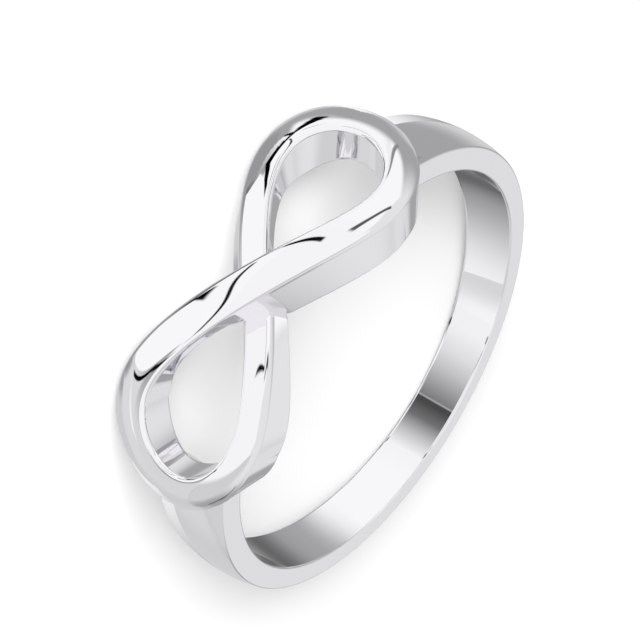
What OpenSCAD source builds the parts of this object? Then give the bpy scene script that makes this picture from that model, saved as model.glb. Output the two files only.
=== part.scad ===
// Ring with a figure eight lying across the finger, cast in one piece.
// Drawn about the axis of the finger hole, then laid on its side as it rests on a table.

/* [Finger hole] */
// Diameter of the finger hole
bore_d = 17.3; // [15.5:0.1:21]

/* [Band] */
// Thickness of the band at the back
back_t = 0.92; // [0.8:0.02:1.2]
// Thickness of the band under the head
head_t = 1.46; // [1.2:0.02:1.6]
// Width of the band at the back
back_w = 1.9; // [1.6:0.1:2.4]
// Width of the band under the head
head_w = 3.3; // [2.8:0.1:3.6]
// Radius of the band's outer face across its width
dome_r = 5.2; // [4:0.1:8]
// Angle from the middle of the head to each end of the band
shoulder_a = 45.5; // [43:0.5:45.5]

/* [Figure eight] */
// How far the eight sits to one side of the band's middle
head_across = -0.12; // [-0.2:0.02:0.2]
// From the middle of the eight to the end of a loop, along the strand's middle line
loop_l = 8.2; // [7.9:0.1:8.6]
// From the middle of the eight to the side of a loop, along the strand's middle line
loop_w = 2.58; // [2.4:0.02:2.8]
// How far the ends of the loops are squared off
square_l = 0.2; // [0:0.05:0.25]
// How far the sides of the loops are squared off
square_w = 0.06; // [0:0.02:0.1]
// Width of the strand at the ends of the loops
strand_w = 1.3; // [1.2:0.05:1.5]
// How much wider the strand is where it passes over, and narrower where it passes under
strand_swell = 0.14; // [0:0.02:0.2]
// Height of the rim above the finger hole, at its mean
rim_h = 1.71; // [1.6:0.01:1.9]
// Rise of the strand that passes over, and dip of the one that passes under
cross_h = 0.32; // [0.25:0.01:0.4]
// Rise of both strands from the crossing to the ends of the loops
end_h = 0.41; // [0.3:0.01:0.5]
// How closely the dip keeps to the crossing
dip_h = 0.2; // [0.1:0.01:0.25]
// How strongly the top rolls over round the loops, as a share of full
crown_part = 1; // [0.6:0.05:1.1]
// Radius along each rim
rim_r = 0.1; // [0.05:0.01:0.15]
// Spread of the under strand's outer walls at the foot of the crossing
foot_w = 0.6; // [0:0.05:0.6]
// Spread of the over strand's outer walls there
over_foot_w = 0.2; // [0:0.05:0.4]
// Hollow under the inner edge of the over strand, beside the crossing
arch_h = 1.15; // [0:0.05:1.2]
// Hollow under the inner edge of each loop's end
scoop_h = 0.6; // [0:0.05:0.65]
// Hollow between the two
link_h = 0.36; // [0:0.02:0.4]

/* [Hidden] */
bore_r = bore_d / 2;
crest_r = bore_r + (back_t + head_t) / 2; // the band's outer face is a round about a shifted centre
crest_shift = (head_t - back_t) / 2;
plan_r = 1.2 * bore_r; // lengths along the eight are arcs at this radius
sink = 0.35; // how far a wall runs into the finger hole before the hole is cut
ring_step = 3; // degrees of the strand's path between rings
crown_steps = 8; // flats across the rounded top
loop_a = 90; // path angle at the ends of the loops, where the strands meet
// The top's slope across the strand in waves round the path: rounding in the first and the third
// power of the place across, and the lean towards the outside of the loop
round_waves = [0.425, 0.049, -0.368, -0.09];
edge_waves = [0.153, 0.015, -0.148, -0.077];
lean_waves = [0.357, 0.038, -0.263];

// The strand's path: two waves along the head and two across it, u from 0 to 360 degrees.
// The under strand crosses at u = 0 and the over strand at u = 180.
loop_amp = loop_l - square_l;
side_amp = loop_w + square_w;
function along(u) = loop_amp * sin(u) + square_l * sin(5 * u);
function across(u) = head_across + side_amp * sin(2 * u) + square_w * sin(6 * u);
function along_rate(u) = loop_amp * cos(u) + 5 * square_l * cos(5 * u);
function across_rate(u) = 2 * side_amp * cos(2 * u) + 6 * square_w * cos(6 * u);

function half_w(u) = (strand_w - strand_swell * cos(u)) / 2;
function rim_at(u) =
    bore_r + rim_h - cross_h * cos(u) - end_h * cos(2 * u) - dip_h * cos(3 * u);

// A bump of height 1 at u = middle that fades to 0 at reach degrees from it
function bump(u, middle, reach) =
    let (d = min(abs(u - middle), reach) / reach) pow(cos(90 * d), 2);

// Side is 1 or -1. It is the outer side of the loop where this is above 0.
function outerness(u, side) = -side * sin(u);
function foot(u, side) =
    let (from_cross = min(abs(u), abs(u - 180)), width = cos(u) > 0 ? foot_w : over_foot_w)
    width * max(0, cos(1.9 * from_cross)) * min(1, max(0, 0.5 + 3 * outerness(u, side)));
function hollow(u, side) =
    let (from_over = abs(u - 180), inner = min(1, max(0, -8 * outerness(u, side))))
    inner * (arch_h * bump(from_over, 14, 30) + link_h * bump(from_over, 46, 34)
        + scoop_h * bump(from_over, 90, 40));
function wall_foot_r(u, side) =
    let (rise = hollow(u, side))
    bore_r - sink + rise + sink * min(1, rise / 0.3);

// Height of the top above the rims at k from -1 to 1 across, as a share of half the width
function rise(u, k) =
    let (c = [1, cos(u), cos(2 * u), cos(3 * u)], s = [sin(u), sin(2 * u), sin(3 * u)])
    crown_part * (round_waves * c / 2 * (1 - pow(k, 2)) + edge_waves * c / 4 * (1 - pow(k, 4))
        + lean_waves * s / 3 * (k - pow(k, 3)));

// Outline of the strand as [offset from its middle line, radius from the finger's axis]
function strand_outline(u) =
    let (half = half_w(u), rim = rim_at(u))
    concat(
        [[-half - foot(u, 1), wall_foot_r(u, 1)], [-half, rim - rim_r]],
        [for (k = [0:crown_steps])
            let (across_top = -1 + 2 * k / crown_steps)
            [across_top * (half - rim_r * (1 - cos(45))), rim + half * rise(u, across_top)]],
        [[half, rim - rim_r], [half + foot(u, -1), wall_foot_r(u, -1)]]
    );

function strand_ring(u) =
    let (rate = norm([along_rate(u), across_rate(u)]))
    [for (p = strand_outline(u))
        let (
            arc = along(u) - p[0] * across_rate(u) / rate,
            turn = arc / plan_r * 180 / PI
        )
        [p[1] * sin(turn), -p[1] * cos(turn), across(u) + p[0] * along_rate(u) / rate]];

module strand(from_u, to_u) {
    rings = [for (u = [from_u:ring_step:to_u]) strand_ring(u)];
    count = len(rings[0]);
    last = len(rings) - 1;
    points = [for (ring = rings) each ring];
    sides = [for (i = [0:last - 1], j = [0:count - 1])
        let (
            a = i * count + j,
            b = i * count + (j + 1) % count
        )
        each [[a, b, a + count], [b, b + count, a + count]]];
    near_end = [[for (j = [count - 1:-1:0]) j]];
    far_end = [[for (j = [0:count - 1]) last * count + j]];
    polyhedron(points, concat(sides, near_end, far_end));
}

module over_strand() strand(loop_a, 360 - loop_a);

module under_strand() strand(-loop_a, loop_a);

// Widths of the band as seen from its side: it narrows evenly from the head to the back
module band_taper() {
    reach = crest_r + crest_shift;
    rotate([90, 0, 90])
        linear_extrude(height = 3 * crest_r, center = true)
            polygon([[-reach, -head_w / 2], [reach, -back_w / 2], [reach, back_w / 2], [-reach, head_w / 2]]);
}

module band() {
    intersection() {
        translate([0, -crest_shift, 0])
            rotate_extrude(angle = 360 - 2 * shoulder_a, start = shoulder_a - 90)
                intersection() {
                    translate([crest_r - dome_r, 0]) circle(r = dome_r, $fn = 180);
                    translate([bore_r - 2 * sink, -head_w]) square([crest_r, 2 * head_w]);
                }
        band_taper();
    }
}

module bored()
    difference() {
        union() children();
        cylinder(r = bore_r, h = 4 * loop_w, center = true, $fn = 240);
    }

// Rest: both loops and the back of the band touch the table
function low_point(u) = let (ring = strand_ring(u)) ring[len(ring) - 1];
function foot_point(u) =
    let (p = low_point(u), flat = norm([p[0], p[1]]))
    [p[1] * bore_r / flat, p[2]];
back_y = crest_r - crest_shift - (dome_r - sqrt(pow(dome_r, 2) - pow(back_w / 2, 2)));
rest_a = max([for (u = [loop_a:ring_step:180])
    atan2(-back_w / 2 - foot_point(u)[1], back_y - foot_point(u)[0])]);
rest_z = back_y * sin(rest_a) + back_w / 2 * cos(rest_a);
front_y = min([for (u = [-loop_a:ring_step:270], p = strand_ring(u)) p[1] * cos(rest_a) + p[2] * sin(rest_a)]);
rear_y = (crest_r - crest_shift - dome_r) * cos(rest_a) + dome_r;

module infinity_ring()
    color("silver")
        translate([0, -(front_y + rear_y) / 2, rest_z])
            rotate([-rest_a, 0, 0]) {
                bored() {
                    over_strand();
                    under_strand();
                }
                bored() band();
            }

infinity_ring();
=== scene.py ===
import math

import bpy
import numpy as np
from mathutils import Matrix, Vector


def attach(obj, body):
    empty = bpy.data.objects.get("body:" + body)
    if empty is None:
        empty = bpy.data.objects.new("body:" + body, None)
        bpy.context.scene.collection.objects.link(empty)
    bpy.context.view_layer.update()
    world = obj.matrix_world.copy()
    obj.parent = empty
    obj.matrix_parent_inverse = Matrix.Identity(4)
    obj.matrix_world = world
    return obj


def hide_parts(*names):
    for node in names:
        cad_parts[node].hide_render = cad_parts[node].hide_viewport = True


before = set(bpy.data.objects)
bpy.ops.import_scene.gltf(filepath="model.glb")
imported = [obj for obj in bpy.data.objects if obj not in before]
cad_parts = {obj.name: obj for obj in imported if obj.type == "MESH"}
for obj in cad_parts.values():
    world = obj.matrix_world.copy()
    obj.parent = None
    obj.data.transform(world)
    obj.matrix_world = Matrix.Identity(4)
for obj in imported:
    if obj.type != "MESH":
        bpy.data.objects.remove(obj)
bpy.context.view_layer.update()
print("frame loaded")

mm = 0.001

# The ring, in mm and degrees, drawn about the finger's axis with the eight in front (-Y). Along
# runs round the finger and across runs along the finger, which is Z here.
ring = {
    "boreR": 8.65,
    "headAcross": -0.12,  # where the eight sits along the finger
    "loopLength": 8.2,
    "loopWidth": 2.58,
    "squareLength": 0.2,  # how far the ends of the loops are squared off
    "squareWidth": 0.06,
    "planR": 10.38,  # lengths along the eight are arcs at this radius
    "strandWidth": 1.3,
    "strandSwell": 0.14,  # wider where it passes over, narrower where it passes under
    "rimHeight": 1.71,
    "crossRise": 0.32,  # up for the strand on top, down for the one beneath
    "endRise": 0.41,  # of both strands from the crossing to the ends of the loops
    "dipShape": 0.2,  # how closely the dip keeps to the crossing
    "underDip": 0.28,  # how much lower the strand beneath is right at the crossing
    "underDipReach": 30,
    "underSpread": 0.55,  # how far the outer walls spread at the foot of the crossing
    "overSpread": 0.38,
    "spreadNarrow": 1.9,  # how closely the spread keeps to the crossing
    "spreadFade": 6,  # how sharply it keeps to the outside of each loop
    # hollows under the inner walls: height, degrees of path from the crossing on top, reach
    "hollows": ((1.15, 14, 30), (0.36, 46, 34), (0.84, 90, 40)),
    "hollowFade": 8,  # how sharply they keep to the inside of each loop
    "rimRound": 0.18,
    "footRound": 0.07,
    "backThick": 0.88,
    "headThick": 1.42,
    "backWidth": 1.9,
    "headWidth": 3.6,
    "faceRound": 5.2,  # radius of the band's outer face across its width
    "shoulder": 45.5,  # from the middle of the head to each end of the band
    "shoulderSlant": 3.3,  # how far those ends are cut back near the finger
    "slantReach": 5,
    "bandRound": 0.06,
    "boreRound": 0.09,
    "creaseAngle": 38,  # edges sharper than this stay crisp
}

# How finely the surfaces are drawn, and how rows of points are shared out down each flat
steps = {
    "strand": 451,
    "band": 420,
    "top": 27,
    "rim": 9,
    "foot": 5,
    "bandRim": 8,
    "boreRim": 6,
    "wall": (0.03, 0.15, 0.4, 0.65, 0.9, 0.97),
    "underside": (0.03, 0.2, 0.4, 0.6, 0.8, 0.97),
    "bandSide": (0.03, 0.3, 0.7, 0.97),
    "boreFace": (0.02, 0.15, 0.3, 0.5, 0.7, 0.85, 0.98),
}
topPlaces = np.linspace(-1, 1, steps["top"])[None, 1:-1]  # across a top, without its two rims

# How it lies: tipped forward until the eight and the back of the band touch the floor
lie = {"tilt": 8.27991, "y": 0.503029, "z": 2.30566}


# Turned about X by the tilt: y cos + z sin, and z cos - y sin
def tipped(p):
    a = math.radians(lie["tilt"])
    x, y, z = p[..., 0], p[..., 1], p[..., 2]
    return np.stack([x, y * math.cos(a) + z * math.sin(a), -y * math.sin(a) + z * math.cos(a)], -1)


# From the ring's own mm to metres on the floor
def toFloor(p):
    return mm * (tipped(p) + np.array([0, lie["y"], lie["z"]]))


# Straight rows from a to b: (1 - f) a + f b, with f from the list of parts
def between(a, b, parts):
    f = np.asarray(parts)[None, :, None]
    return a[:, None] * (1 - f) + b[:, None] * f


# (1 - t)^2 first + 2t(1 - t) corner + t^2 last, with first and last one size away from the
# corner, towards a and towards b
def roundCorner(a, corner, b, size, count):
    toA = a - corner
    toB = b - corner
    toA /= np.linalg.norm(toA, axis=1, keepdims=True)
    toB /= np.linalg.norm(toB, axis=1, keepdims=True)
    t = np.linspace(0, 1, count)[None, :, None]
    first, last = corner + toA * size, corner + toB * size
    return (1 - t) ** 2 * first[:, None] + 2 * t * (1 - t) * corner[:, None] + t**2 * last[:, None]


# Rows of points joined into a tube, each end closed by one face
def tubeMesh(name, rows, normals=None):
    count, around = rows.shape[:2]
    start = np.arange(count - 1)[:, None] * around
    here = np.arange(around)[None, :]
    after = (here + 1) % around
    quads = np.stack([start + here, start + around + here, start + around + after, start + after], -1)
    faces = quads.reshape(-1, 4).tolist()
    faces.append(list(range(around)))
    faces.append(list(range(count * around - 1, (count - 1) * around - 1, -1)))
    mesh = bpy.data.meshes.new(name)
    mesh.from_pydata(rows.reshape(-1, 3).tolist(), [], faces)
    mesh.validate()
    if normals is not None:
        kept = mesh.attributes.new("crownNormal", "FLOAT_VECTOR", "POINT")
        kept.data.foreach_set("vector", normals.ravel())
    return mesh


def addObject(name, data):
    obj = bpy.data.objects.new(name, data)
    bpy.context.scene.collection.objects.link(obj)
    return obj


# The strand's middle line and its rates, with L and W the loop's length and width and l and w
# their squaring: along = L sin u + l sin 5u, across = W sin 2u + w sin 6u
def eightPath(u):
    long, squareLong = ring["loopLength"] - ring["squareLength"], ring["squareLength"]
    wide, squareWide = ring["loopWidth"] + ring["squareWidth"], ring["squareWidth"]
    along = long * np.sin(u) + squareLong * np.sin(5 * u)
    across = wide * np.sin(2 * u) + squareWide * np.sin(6 * u)
    alongRate = long * np.cos(u) + 5 * squareLong * np.cos(5 * u)
    acrossRate = 2 * wide * np.cos(2 * u) + 6 * squareWide * np.cos(6 * u)
    return along, across, alongRate, acrossRate


# 1 at the middle, fading as a cosine squared to 0 at reach from it
def bump(place, middle, reach):
    return np.cos(np.pi / 2 * np.minimum(np.abs(place - middle), reach) / reach) ** 2


# Extra width at the foot of the outer walls: a cosine of the path's angle from the crossing,
# cut off below 0 and faded in as the wall turns to the loop's outside
def spread(u, side):
    fromCross = np.abs((np.degrees(u) + 90) % 180 - 90)
    width = np.where(np.cos(u) > 0, ring["underSpread"], ring["overSpread"])
    fade = np.maximum(0, np.cos(np.radians(ring["spreadNarrow"] * fromCross)))
    return width * fade * np.clip(0.5 - ring["spreadFade"] * side * np.sin(u), 0, 1)


# Height of the foot of the inner walls: three bumps, faded in on the loop's inside
def hollow(u, side):
    fromOver = np.abs(np.degrees(u) % 360 - 180)
    inside = np.clip(side * np.sin(u) * ring["hollowFade"], 0, 1)
    return inside * sum(height * bump(fromOver, *where) for height, *where in ring["hollows"])


# The crown is nearly flat where the strands cross and rolls outward round the loops. Its slope
# across the strand has a part in each power of k, the place across from -1 to 1. The odd parts
# are waves of cosines round the path and the even ones are waves of sines.
crownWaves = {
    "k": (0.425, 0.049, -0.368, -0.090),
    "k3": (0.153, 0.015, -0.148, -0.077),
    "level": (0.554, 0.137, 0.213),
    "k2": (0.357, 0.038, -0.263),
}


# c0 + c1 cos u + c2 cos 2u + c3 cos 3u
def cosines(power, u):
    return sum(c * np.cos(n * u) for n, c in enumerate(crownWaves[power]))


# s1 sin u + s2 sin 2u + s3 sin 3u
def sines(power, u):
    return sum(s * np.sin(n * u) for n, s in enumerate(crownWaves[power], 1))


def crownSlope(u, k):
    return cosines("k", u) * k + cosines("k3", u) * k**3 + sines("level", u) + sines("k2", u) * k**2


# Height of the top over its rims: minus the sum of the slope, evened out so both rims stay level
def crownRise(u, k):
    rounded = cosines("k", u) / 2 * (1 - k**2) + cosines("k3", u) / 4 * (1 - k**4)
    return rounded + sines("k2", u) / 3 * (k - k**3)


# Points round the strand as (offset from its middle line, height over the finger): up one wall,
# over the top, down the other wall and back along the underside. The rim's height is a mean
# with a wave of cos u, cos 2u and cos 3u, less the dip of the strand beneath.
def strandSection(u):
    half = (ring["strandWidth"] - ring["strandSwell"] * np.cos(u)) / 2
    rim = (
        ring["rimHeight"]
        - ring["crossRise"] * np.cos(u)
        - ring["endRise"] * np.cos(2 * u)
        - ring["dipShape"] * np.cos(3 * u)
        - ring["underDip"] * bump(np.degrees(u), 0, ring["underDipReach"])
    )

    def at(offset, height):
        return np.stack([offset + 0 * u, height + 0 * u], 1)

    footA, footB = at(-half - spread(u, 1), hollow(u, 1)), at(half + spread(u, -1), hollow(u, -1))
    rimA, rimB = at(-half, rim), at(half, rim)
    size, part = ring["rimRound"], 1 - ring["rimRound"] / half
    insetA, insetB = (at(side * half * part, rim + half * crownRise(u, side * part)) for side in (-1, 1))
    edgeA = roundCorner(footA, rimA, insetA, size, steps["rim"])
    edgeB = roundCorner(insetB, rimB, footB, size, steps["rim"])
    offsets = edgeA[:, -1:, 0] * -topPlaces
    k = offsets / half[:, None]
    top = np.stack([offsets, rim[:, None] + half[:, None] * crownRise(u[:, None], k)], 2)
    lowB = roundCorner(rimB, footB, footA, ring["footRound"], steps["foot"])
    lowA = roundCorner(footB, footA, rimA, ring["footRound"], steps["foot"])
    wallA = between(lowA[:, -1], edgeA[:, 0], steps["wall"])
    wallB = between(edgeB[:, -1], lowB[:, 0], steps["wall"])
    underside = between(lowB[:, -1], lowA[:, 0], steps["underside"])
    return np.concatenate([lowA, wallA, edgeA, top, edgeB, wallB, lowB, underside], 1)


# The section carried along the path, square to it, and bent round the finger:
# (r sin turn, -r cos turn, z), where turn is the arc along over planR
def strandPoints(u):
    along, across, alongRate, acrossRate = (v[:, None] for v in eightPath(u))
    rate = np.hypot(alongRate, acrossRate)
    section = strandSection(u)
    turn = (along - section[..., 0] * acrossRate / rate) / ring["planR"]
    r = ring["boreR"] + section[..., 1]
    z = across + section[..., 0] * alongRate / rate + ring["headAcross"]
    return np.stack([r * np.sin(turn), -r * np.cos(turn), z], 2)


# Normals for the rounded top and its rims, as strandPoints has the points, and 0 elsewhere:
# up cos(tilt) + side sin(tilt). Tilt is the angle of the crown's slope, and goes on to a right
# angle across each rim.
def strandNormals(u, points):
    rimStart = steps["foot"] + len(steps["wall"])
    topStart = rimStart + steps["rim"]
    topEnd = topStart + topPlaces.size
    rimEnd = topEnd + steps["rim"]
    along = np.gradient(points, axis=0)
    along /= np.linalg.norm(along, axis=2, keepdims=True)
    out = points * np.array([1, 1, 0])
    out /= np.linalg.norm(out, axis=2, keepdims=True)
    side = np.cross(along, out)
    side /= np.linalg.norm(side, axis=2, keepdims=True)
    overTop = points[:, topEnd - 1 : topEnd] - points[:, topStart : topStart + 1]
    side *= np.sign(np.sum(side * overTop, axis=2, keepdims=True))
    up = np.cross(side, along)
    up *= np.sign(np.sum(up * out, axis=2, keepdims=True))
    u = u[:, None]
    fade = np.linspace(1, 0, steps["rim"])[None, :]
    low, high = (np.arctan(crownSlope(u, k)) for k in (-1.0, 1.0))
    tilt = np.zeros(points.shape[:2])
    tilt[:, rimStart:topStart] = low * (1 - fade) - fade * math.pi / 2
    tilt[:, topStart:topEnd] = np.arctan(crownSlope(u, topPlaces))
    tilt[:, topEnd:rimEnd] = high * fade + (1 - fade) * math.pi / 2
    normals = up * np.cos(tilt)[..., None] + side * np.sin(tilt)[..., None]
    normals[:, :rimStart] = 0
    normals[:, rimEnd:] = 0
    return normals


# The band's outer face is r = crest - face + sqrt(face^2 - z^2) round a centre moved towards the
# head, and its half width is middle + slope y, so it narrows evenly from the head to the back
def bandPoints():
    turn = np.radians(np.linspace(ring["shoulder"], 360 - ring["shoulder"], steps["band"]))
    bore, face, size = ring["boreR"], ring["faceRound"], ring["bandRound"]
    crest = bore + (ring["backThick"] + ring["headThick"]) / 2
    shift = (ring["headThick"] - ring["backThick"]) / 2
    slope = (ring["backWidth"] - ring["headWidth"]) / (4 * (crest + shift))
    middle = (ring["backWidth"] + ring["headWidth"]) / 4

    def onFace(z):
        r = crest - face + np.sqrt(face**2 - z**2)
        return np.stack([r * np.sin(turn), -shift - r * np.cos(turn), z], 1)

    def onBore(z):
        return np.stack([bore * np.sin(turn), -bore * np.cos(turn), z], 1)

    # the half width and y of the outer edge depend on each other, and settle within a few rounds
    rounds = 8
    outer = 0 * turn + middle
    for _ in range(rounds):
        outer = middle + slope * onFace(outer)[:, 1]
    inner = middle - slope * bore * np.cos(turn)
    inset = 0.3  # a point this far in from the edge gives the direction of the face there
    outTop, outLow, inTop, inLow = onFace(outer), onFace(-outer), onBore(inner), onBore(-inner)
    corners = [
        roundCorner(onFace(outer - inset), outTop, inTop, size, steps["bandRim"]),
        roundCorner(outTop, inTop, inLow, ring["boreRound"], steps["boreRim"]),
        roundCorner(inTop, inLow, outLow, ring["boreRound"], steps["boreRim"]),
        roundCorner(inLow, outLow, onFace(-outer + inset), size, steps["bandRim"]),
    ]
    rows = [corners[0]]
    for last, corner, parts in zip(corners, corners[1:], ("bandSide", "boreFace", "bandSide")):
        rows += [between(last[:, -1], corner[:, 0], steps[parts]), corner]
    z = topPlaces * (outer - size)[:, None]
    r = crest - face + np.sqrt(face**2 - z**2)
    rows.append(np.stack([r * np.sin(turn)[:, None], -shift - r * np.cos(turn)[:, None], z], 2))
    return slantEnds(np.concatenate(rows, 1))


# The band's ends are cut back near the finger, so that they stay above the hollow under each
# loop: the angle from the head grows by the slant, faded out over 1 mm from the finger, towards
# the sides of the band and over the slant's reach
def slantEnds(rows):
    x, y, z = rows[..., 0], rows[..., 1], rows[..., 2]
    r, angle = np.hypot(x, y), np.degrees(np.arctan2(x, -y))
    low = np.clip(1 - (r - ring["boreR"]), 0, 1) * np.clip(1 - (z / (ring["headWidth"] / 2)) ** 2, 0, 1)
    near = np.clip(1 - (np.abs(angle) - ring["shoulder"]) / ring["slantReach"], 0, 1)
    angle = np.radians(angle + np.sign(angle) * ring["shoulderSlant"] * low * near)
    return np.stack([r * np.sin(angle), -r * np.cos(angle), z], 2)


def strandMesh(name, fromU, toU):
    u = np.radians(np.linspace(fromU, toU, steps["strand"]))
    points = strandPoints(u)
    return tubeMesh(name, toFloor(points), tipped(strandNormals(u, points)))


# Cast as one: the two strands meet at the ends of the loops, and the band joins them there
over = addObject("over", strandMesh("over", 90, 270))
under = addObject("under", strandMesh("under", -90, 90))
band = addObject("band", tubeMesh("band", toFloor(bandPoints())))
print("strands and band drawn", *(len(obj.data.polygons) for obj in (over, under, band)))
for other in (under, band):
    join = over.modifiers.new("join", "BOOLEAN")
    join.operation = "UNION"
    join.solver = "MANIFOLD"
    join.object = other
ringMesh = bpy.data.meshes.new_from_object(over.evaluated_get(bpy.context.evaluated_depsgraph_get()))
for obj in (over, under, band):
    bpy.data.meshes.remove(obj.data)
ringMesh.name = "infinity_ring_look"
infinityRing = addObject("infinity_ring_look", ringMesh)
print("ring joined", len(ringMesh.polygons))


# Smooth between its creases. A corner on the crown takes the normal drawn for its vertex, and
# every other corner keeps its own.
def setNormals(mesh):
    mesh.polygons.foreach_set("use_smooth", [True] * len(mesh.polygons))
    mesh.set_sharp_from_angle(angle=math.radians(ring["creaseAngle"]))
    drawn = np.zeros(len(mesh.vertices) * 3)
    mesh.attributes["crownNormal"].data.foreach_get("vector", drawn)
    mesh.attributes.remove(mesh.attributes["crownNormal"])
    vertex = np.zeros(len(mesh.loops), dtype=np.int32)
    mesh.loops.foreach_get("vertex_index", vertex)
    drawn = drawn.reshape(-1, 3)[vertex]
    normals = np.zeros(len(mesh.loops) * 3, dtype=np.float32)
    mesh.corner_normals.foreach_get("vector", normals)
    normals = normals.reshape(-1, 3)
    onCrown = np.linalg.norm(drawn, axis=1) > 0.5  # a drawn one has length 1, and the others 0
    normals[onCrown] = drawn[onCrown]
    mesh.normals_split_custom_set(normals.tolist())
    print("crown normals set", int(onCrown.sum()))


setNormals(ringMesh)
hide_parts("infinity_ring")
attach(infinityRing, "root")


# c / 12.92 for dark values, and ((c + 0.055) / 1.055)^2.4 for the others
def linear(code):
    values = [int(code[i : i + 2], 16) / 255 for i in (1, 3, 5)]
    return [v / 12.92 if v <= 0.04045 else ((v + 0.055) / 1.055) ** 2.4 for v in values] + [1.0]


# A socket is given a number or colour, another node's socket, or a node for its first output
def addNode(tree, kind, settings=None, sockets=None):
    node = tree.nodes.new(kind)
    for name, value in (settings or {}).items():
        setattr(node, name, value)
    for name, value in (sockets or {}).items():
        if isinstance(value, bpy.types.Node):
            value = value.outputs[0]
        if isinstance(value, bpy.types.NodeSocket):
            tree.links.new(value, node.inputs[name])
        else:
            node.inputs[name].default_value = value
    return node


def newMaterial(name):
    mat = bpy.data.materials.new(name)
    mat.use_nodes = True
    mat.node_tree.nodes.clear()
    return mat, mat.node_tree


# Sterling silver, cast and buffed to a mirror: it shows the studio with hardly any tint
silver = {"colour": "#f4f3f6", "rough": 0.035}
silverMat, tree = newMaterial("polished sterling silver")
metal = addNode(
    tree,
    "ShaderNodeBsdfPrincipled",
    None,
    {"Base Color": linear(silver["colour"]), "Metallic": 1.0, "Roughness": silver["rough"]},
)
addNode(tree, "ShaderNodeOutputMaterial", None, {"Surface": metal})
infinityRing.data.materials.clear()
infinityRing.data.materials.append(silverMat)
print("silver made")

# A sheet of pale paper, matt, so it takes only the ring's soft shadow
floor = {"size": 4.0, "colour": "#f6f6f6", "rough": 0.9}
floorMesh = bpy.data.meshes.new("floor")
halfSide = floor["size"] / 2
corners = [(halfSide * x, halfSide * y, 0) for x, y in ((-1, -1), (1, -1), (1, 1), (-1, 1))]
floorMesh.from_pydata(corners, [], [(0, 1, 2, 3)])
floorObj = addObject("floor", floorMesh)
floorMat, tree = newMaterial("pale paper sweep")
paperLook = {"Base Color": linear(floor["colour"]), "Roughness": floor["rough"]}
paper = addNode(tree, "ShaderNodeBsdfPrincipled", None, paperLook)
addNode(tree, "ShaderNodeOutputMaterial", None, {"Surface": paper})
floorMesh.materials.append(floorMat)
floorObj.visible_glossy = False  # the metal shows the tent all round
print("floor laid")


# A direction's vector. Azimuth runs from the front (-Y) towards +X.
def dirTo(azimuth, elevation):
    a, e = math.radians(azimuth), math.radians(elevation)
    return Vector((math.sin(a) * math.cos(e), -math.cos(a) * math.cos(e), math.sin(e)))


# The light tent that the metal shows, as patches by direction in degrees. A cloth is a lit patch
# and a gap is a thin dark one between cloths, which draws a dark line on the strands. Each lies
# over the ones before it, and fades over soft degrees of azimuth and of elevation outside its
# edges. Lean is degrees of azimuth gained per degree of elevation, rise the other way round.
tent = {
    "roof": dict(azimuth=(-180, 180), elevation=(45, 100), soft=(1, 45), bright=0.84),
    "clothBack": dict(azimuth=(166, 186), elevation=(9, 24), soft=(9, 9), bright=0.79),
    "clothLowBack": dict(azimuth=(118, 208), elevation=(-62, -22), soft=(28, 8), bright=0.66),
    "clothFarRight": dict(azimuth=(30, 112), elevation=(-14, 78), lean=-0.1, soft=(26, 10), bright=0.68),
    "clothSideRight": dict(azimuth=(66, 108), elevation=(-46, -20), soft=(22, 5), bright=0.73),
    "clothUpLeft": dict(azimuth=(-80, -19), elevation=(-13, 36), lean=0.15, soft=(14, 5), bright=1.03),
    "clothLowLeft": dict(azimuth=(-80, -8), elevation=(-60, -18), lean=0.05, soft=(20, 7), bright=1.03),
    "clothRight": dict(azimuth=(-21, 62), elevation=(-20, 80), lean=0.15, soft=(16, 4), bright=1.0),
    "clothLowRight": dict(azimuth=(52, 112), elevation=(-74, -46), lean=-0.2, soft=(8, 8), bright=0.76),
    "clothFront": dict(azimuth=(-8, 40), elevation=(-72, -19), lean=-0.45, soft=(3, 3), bright=1.03),
    "clothFloor": dict(azimuth=(-180, 180), elevation=(-95, -76), soft=(1, 5), bright=0.34),
    "gapLowA": dict(azimuth=(-91, -62), elevation=(-55, -48), rise=-0.33, soft=(4, 1.5), bright=0.0),
    "gapLowB": dict(azimuth=(-63, -9), elevation=(-71, -58), rise=-0.12, soft=(2, 1.5), bright=0.0),
    "gapLowC": dict(azimuth=(-10, -3), elevation=(-68, -41), lean=0.25, soft=(1.5, 4), bright=0.0),
    "gapBendA": dict(azimuth=(-25.4, -23.4), elevation=(-28, 6), lean=0.275, soft=(1.0, 3), bright=0.0),
    "gapBendB": dict(azimuth=(-35.8, -34.4), elevation=(-50, -30), lean=0.5, soft=(1.2, 4), bright=0.1),
    "gapFront": dict(azimuth=(-18, 34), elevation=(-23.0, -21.6), rise=0.4, soft=(4, 1.2), bright=0.0),
    "gapRightA": dict(azimuth=(40.5, 43.5), elevation=(-33, -14), lean=-0.05, soft=(1.2, 4), bright=0.0),
    "gapRightB": dict(azimuth=(48.4, 51.6), elevation=(-68, -35), lean=-0.53, soft=(1.2, 3), bright=0.0),
    "gapRim": dict(azimuth=(-60, -27), elevation=(28.5, 31), rise=-0.55, soft=(3, 1.5), bright=0.1),
    "gapCrestA": dict(azimuth=(-97, -64), elevation=(-12.6, -11.2), rise=-0.1, soft=(4, 1), bright=0.28),
    "gapCrestB": dict(azimuth=(-58, -56.6), elevation=(-42, -27), lean=-0.37, soft=(1, 2), bright=0.3),
    "gapSide": dict(azimuth=(145, 147), elevation=(-8, 27), lean=-0.1, soft=(1, 3), bright=0.15),
}
tentGrey = 0.40  # the tent where no patch hangs
plainWhite = 0.7  # what all but the metal sees instead
bpy.context.scene.view_settings.view_transform = "Standard"
world = bpy.data.worlds.new("studio")
bpy.context.scene.world = world
world.use_nodes = True
sky = world.node_tree
sky.nodes.clear()
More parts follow.
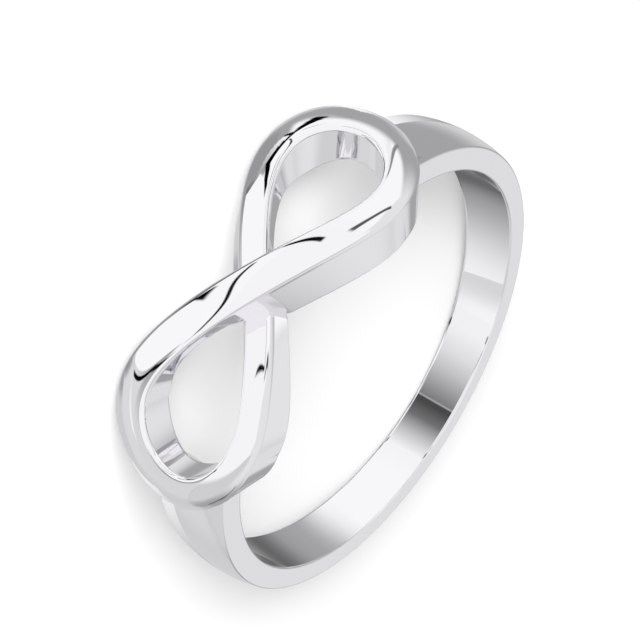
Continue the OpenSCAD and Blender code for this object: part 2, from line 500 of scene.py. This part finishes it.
subtract, multiply, wrap = ({"operation": name} for name in ("SUBTRACT", "MULTIPLY", "WRAP"))
direction = addNode(sky, "ShaderNodeTexCoord").outputs["Generated"]
toRight, toBack, toTop = addNode(sky, "ShaderNodeSeparateXYZ", None, {0: direction}).outputs
toFront = addNode(sky, "ShaderNodeMath", multiply, {0: toBack, 1: -1.0})
turned = addNode(sky, "ShaderNodeMath", {"operation": "ARCTAN2"}, {0: toRight, 1: toFront})
lifted = addNode(sky, "ShaderNodeMath", {"operation": "ARCSINE"}, {0: toTop})
azimuth = addNode(sky, "ShaderNodeMath", multiply, {0: turned, 1: 180 / math.pi})
elevation = addNode(sky, "ShaderNodeMath", multiply, {0: lifted, 1: 180 / math.pi})


# One patch over what hangs behind it: its brightness where the fades of its two ways, each 1
# inside the edges and 0 at soft beyond them, are both 1
def hangPatch(behind, patch):
    edges = (patch["azimuth"], patch["elevation"])
    middle = [sum(pair) / 2 for pair in edges]
    along = addNode(sky, "ShaderNodeMath", subtract, {0: azimuth, 1: middle[0]})
    along = addNode(sky, "ShaderNodeMath", wrap, {0: along, 1: 180.0, 2: -180.0})
    up = addNode(sky, "ShaderNodeMath", subtract, {0: elevation, 1: middle[1]})
    if "lean" in patch:
        leaned = addNode(sky, "ShaderNodeMath", multiply, {0: up, 1: patch["lean"]})
        along = addNode(sky, "ShaderNodeMath", subtract, {0: along, 1: leaned})
        along = addNode(sky, "ShaderNodeMath", wrap, {0: along, 1: 180.0, 2: -180.0})
    if "rise" in patch:
        risen = addNode(sky, "ShaderNodeMath", multiply, {0: along, 1: patch["rise"]})
        up = addNode(sky, "ShaderNodeMath", subtract, {0: up, 1: risen})
    fades = []
    for place, pair, soft in zip((along, up), edges, patch["soft"]):
        half = (pair[1] - pair[0]) / 2
        away = addNode(sky, "ShaderNodeMath", {"operation": "ABSOLUTE"}, {0: place})
        span = {"Value": away, "From Min": half + soft, "From Max": half}
        fades.append(addNode(sky, "ShaderNodeMapRange", {"interpolation_type": "SMOOTHSTEP"}, span))
    mask = addNode(sky, "ShaderNodeMath", multiply, dict(enumerate(fades)))
    layers = {0: mask, 2: behind, 3: patch["bright"]}
    return addNode(sky, "ShaderNodeMix", {"data_type": "FLOAT"}, layers)


shade = tentGrey
for patch in tent.values():
    shade = hangPatch(shade, patch)
isGlossy = addNode(sky, "ShaderNodeLightPath").outputs["Is Glossy Ray"]
seen = addNode(sky, "ShaderNodeMix", {"data_type": "FLOAT"}, {0: isGlossy, 2: plainWhite, 3: shade})
glow = addNode(sky, "ShaderNodeBackground", None, {"Color": (1, 1, 1, 1), "Strength": seen})
addNode(sky, "ShaderNodeOutputWorld", None, {"Surface": glow})
print("tent hung", len(tent))

# A square softbox that lights the paper and casts the ring's shadow: metres, watts and degrees
softbox = {"side": 0.34, "power": 3.5, "azimuth": -14, "elevation": 28, "away": 0.5}
key = bpy.data.lights.new("key", "AREA")
key.shape = "RECTANGLE"
key.size = key.size_y = softbox["side"]
key.energy = softbox["power"]
keyObj = addObject("key", key)
keyDir = dirTo(softbox["azimuth"], softbox["elevation"])
keyTurn = keyDir.to_track_quat("Z", "Y").to_matrix().to_4x4()
keyObj.matrix_world = Matrix.Translation(keyDir * softbox["away"]) @ keyTurn
keyObj.visible_glossy = False

# Two graded cards under the table, in mm, which only the metal shows. Their stops give the dark
# middle and the lit ends of the band's inside: (place, brightness) from one end to the other.
# The upright card stands in front of the head, with its places across from the middle.
frontCard = {
    "y": -10.4,
    "z": (-6.3, -3.45),
    "sag": 0.0145,  # how much lower it hangs per square mm from its middle
    "stops": (
        (-8.5, 1), (-7.8, 1), (-5, 0.6), (-2.5, 0.18), (-0.4, 0.07), (0.09, 0.07), (0.24, 0.5),
        (0.43, 0.22), (1.9, 0.34), (4.7, 0.6), (7.5, 0.8), (11, 0.93), (13, 0.97), (16, 0.97),
        (18.3, 0.97),
    ),
}
# The level card curves round the back. Its places are degrees from straight back, seen from gradeY.
backCard = {
    "z": -8.0,
    "radius": (11.6, 19.0),
    "turn": 88,
    "columns": 103,
    "gradeY": 5,
    "stops": (
        (-112, 1.03), (-99.7, 1.03), (-92.7, 0.9), (-85.5, 0.71), (-78, 0.53), (-70, 0.42),
        (-55, 0.39), (-43, 0.37), (-33, 0.29), (-22, 0.2), (-8, 0.14), (2, 0.16), (9, 0.22),
        (20, 0.3), (29, 0.36), (40, 0.41), (58, 0.52), (75, 0.67), (90, 0.82), (104, 0.95),
        (112, 0.99), (130, 0.99),
    ),
}
# White card lit from behind: it shines as strongly as each point's brightness says
cardMat, tree = newMaterial("lit white card")
grade = addNode(tree, "ShaderNodeAttribute", {"attribute_name": "bright"}).outputs["Fac"]
shine = addNode(tree, "ShaderNodeEmission", None, {"Strength": grade})
addNode(tree, "ShaderNodeOutputMaterial", None, {"Surface": shine})


# (x, y, z - sag x^2), with two points at each stop
def frontPoints():
    x, bright = np.repeat(np.array(frontCard["stops"]), 2, axis=0).T
    z = np.tile(frontCard["z"], len(x) // 2) - frontCard["sag"] * x**2
    return np.stack([x, 0 * x + frontCard["y"], z], 1), bright


# (r sin t, r cos t, z), with the brightness of the stops on either side, mixed
def backPoints():
    t = np.repeat(np.radians(np.linspace(-backCard["turn"], backCard["turn"], backCard["columns"])), 2)
    r = np.tile(backCard["radius"], backCard["columns"])
    points = np.stack([r * np.sin(t), r * np.cos(t), 0 * r + backCard["z"]], 1)
    places = np.degrees(np.arctan2(points[:, 0], points[:, 1] - backCard["gradeY"]))
    return points, np.interp(places, *np.array(backCard["stops"]).T)


# A strip between two rows of points, each column sharing its two points with the next
def addCard(name, points, bright):
    faces = [(i, i + 1, i + 3, i + 2) for i in range(0, len(points) - 2, 2)]
    cardMesh = bpy.data.meshes.new(name)
    cardMesh.from_pydata((mm * points).tolist(), [], faces)
    cardMesh.attributes.new("bright", "FLOAT", "POINT").data.foreach_set("value", bright)
    cardMesh.materials.append(cardMat)
    card = addObject(name, cardMesh)
    card.visible_camera = card.visible_diffuse = card.visible_shadow = False


addCard("card_front", *frontPoints())
addCard("card_back", *backPoints())
print("cards set")

# The photo's view: the ring is seen from above the side of its head, with the camera rolled.
# Lengths are in mm and angles in degrees.
photoView = {
    "azimuth": 1.26,
    "elevation": 35.88,
    "roll": 119.33,
    "distance": 117.29,
    "aim": (-0.642, -0.610, 0.758),
    "lens": 168.75,
    "sensor": 36,
}
cam = bpy.data.cameras.new("camera")
cam.sensor_width = photoView["sensor"]
cam.lens = photoView["lens"]
cam.clip_start, cam.clip_end = 0.01, 10  # metres
camObj = addObject("camera", cam)
camDir = dirTo(photoView["azimuth"], photoView["elevation"])
camPlace = Vector(photoView["aim"]) * mm + camDir * photoView["distance"] * mm
roll = Matrix.Rotation(math.radians(photoView["roll"]), 4, "Z").to_quaternion()
camTurn = camDir.to_track_quat("Z", "Y") @ roll
camObj.matrix_world = Matrix.Translation(camPlace) @ camTurn.to_matrix().to_4x4()
bpy.context.scene.camera = camObj
print("studio set")
